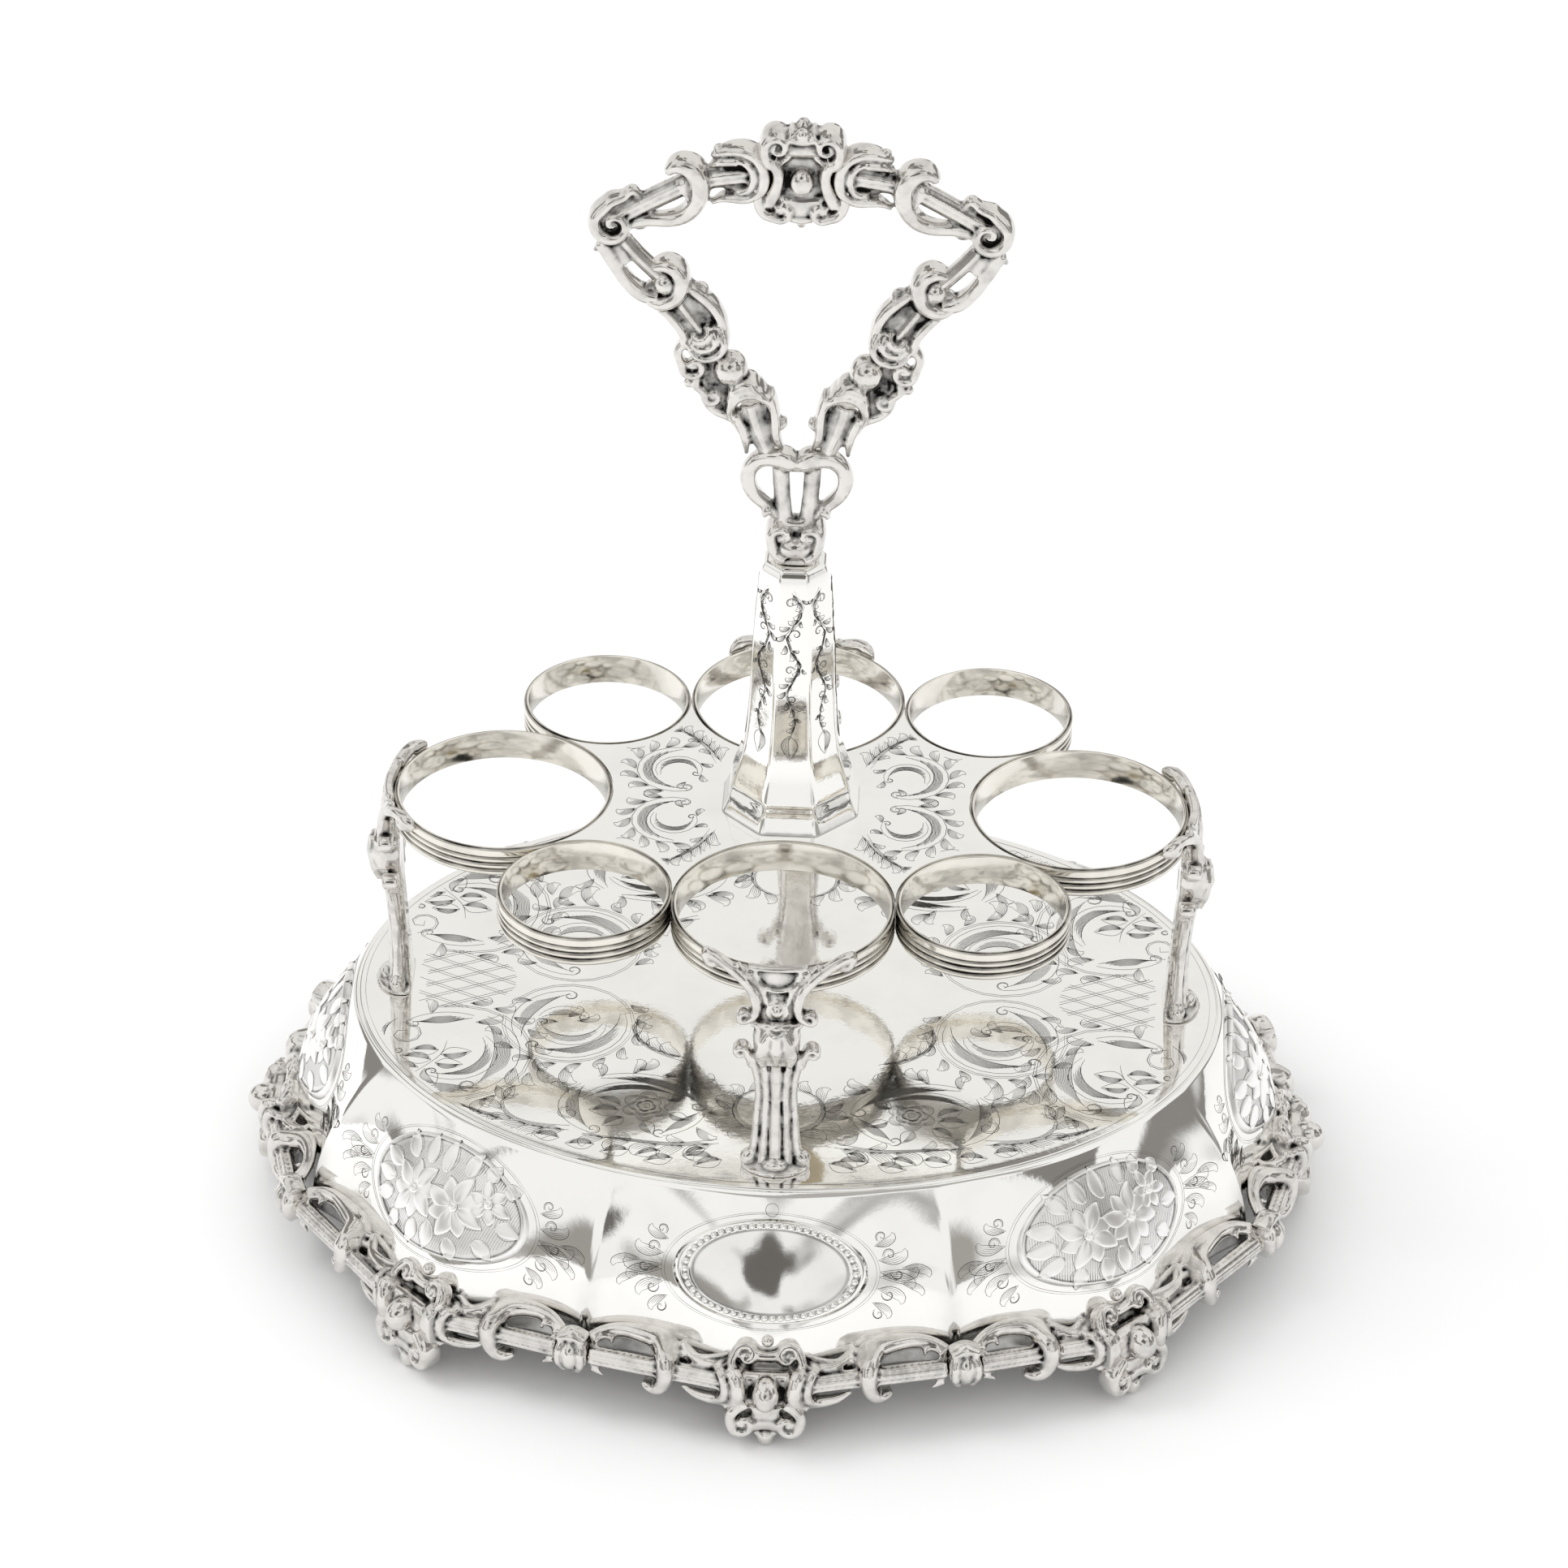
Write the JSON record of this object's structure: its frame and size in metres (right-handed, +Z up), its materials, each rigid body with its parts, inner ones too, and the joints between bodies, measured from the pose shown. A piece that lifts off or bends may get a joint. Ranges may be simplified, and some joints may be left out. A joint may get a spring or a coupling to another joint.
{
  "type": "cruet frame",
  "caption": "Oval silver-plated cruet frame with bottle rings on four cast legs, a scroll border on scroll feet and an open scroll handle on an octagonal stem.",
  "frame": {"origin": "on the table under the middle of the oval base", "axes": "+Z up along the stem, +X along the long side of the base, -Y towards the front medallion"},
  "size_m": [0.25, 0.2102, 0.2794],
  "materials": {
    "polished_silver": "polished, hand engraved silver plate",
    "cast_silver": "cast and chased silver plate with dark oxide in the hollows",
    "ring_silver": "polished silver plate, slightly tarnished",
    "bright_fittings": "plated brass fittings"
  },
  "bodies": {
    "root": {"base_plate": "polished_silver", "base_skirt": "polished_silver", "border_knots": "cast_silver", "deck_plate": "polished_silver", "leg_nuts": "bright_fittings", "stem": "polished_silver", "stem_collar": "cast_silver", "tie_rod": "bright_fittings", "tie_rod_washer": "bright_fittings", "tie_rod_nut": "bright_fittings", "handle_fork": "cast_silver", "handle_arm_left": "cast_silver", "handle_arm_right": "cast_silver", "handle_side_left": "cast_silver", "handle_side_right": "cast_silver", "handle_crest": "cast_silver", "border_front": "cast_silver", "border_front_right": "cast_silver", "border_right": "cast_silver", "border_back_right": "cast_silver", "border_back": "cast_silver", "border_back_left": "cast_silver", "border_left": "cast_silver", "border_front_left": "cast_silver", "foot_front": "cast_silver", "foot_front_right": "cast_silver", "foot_right": "cast_silver", "foot_back_right": "cast_silver", "foot_back": "cast_silver", "foot_back_left": "cast_silver", "foot_left": "cast_silver", "foot_front_left": "cast_silver", "leg_front": "cast_silver", "leg_right": "cast_silver", "leg_back": "cast_silver", "leg_left": "cast_silver", "ring_large_front": "ring_silver", "ring_small_front_right": "ring_silver", "ring_large_right": "ring_silver", "ring_small_back_right": "ring_silver", "ring_large_back": "ring_silver", "ring_small_back_left": "ring_silver", "ring_large_left": "ring_silver", "ring_small_front_left": "ring_silver"}
  },
  "joints": []
}
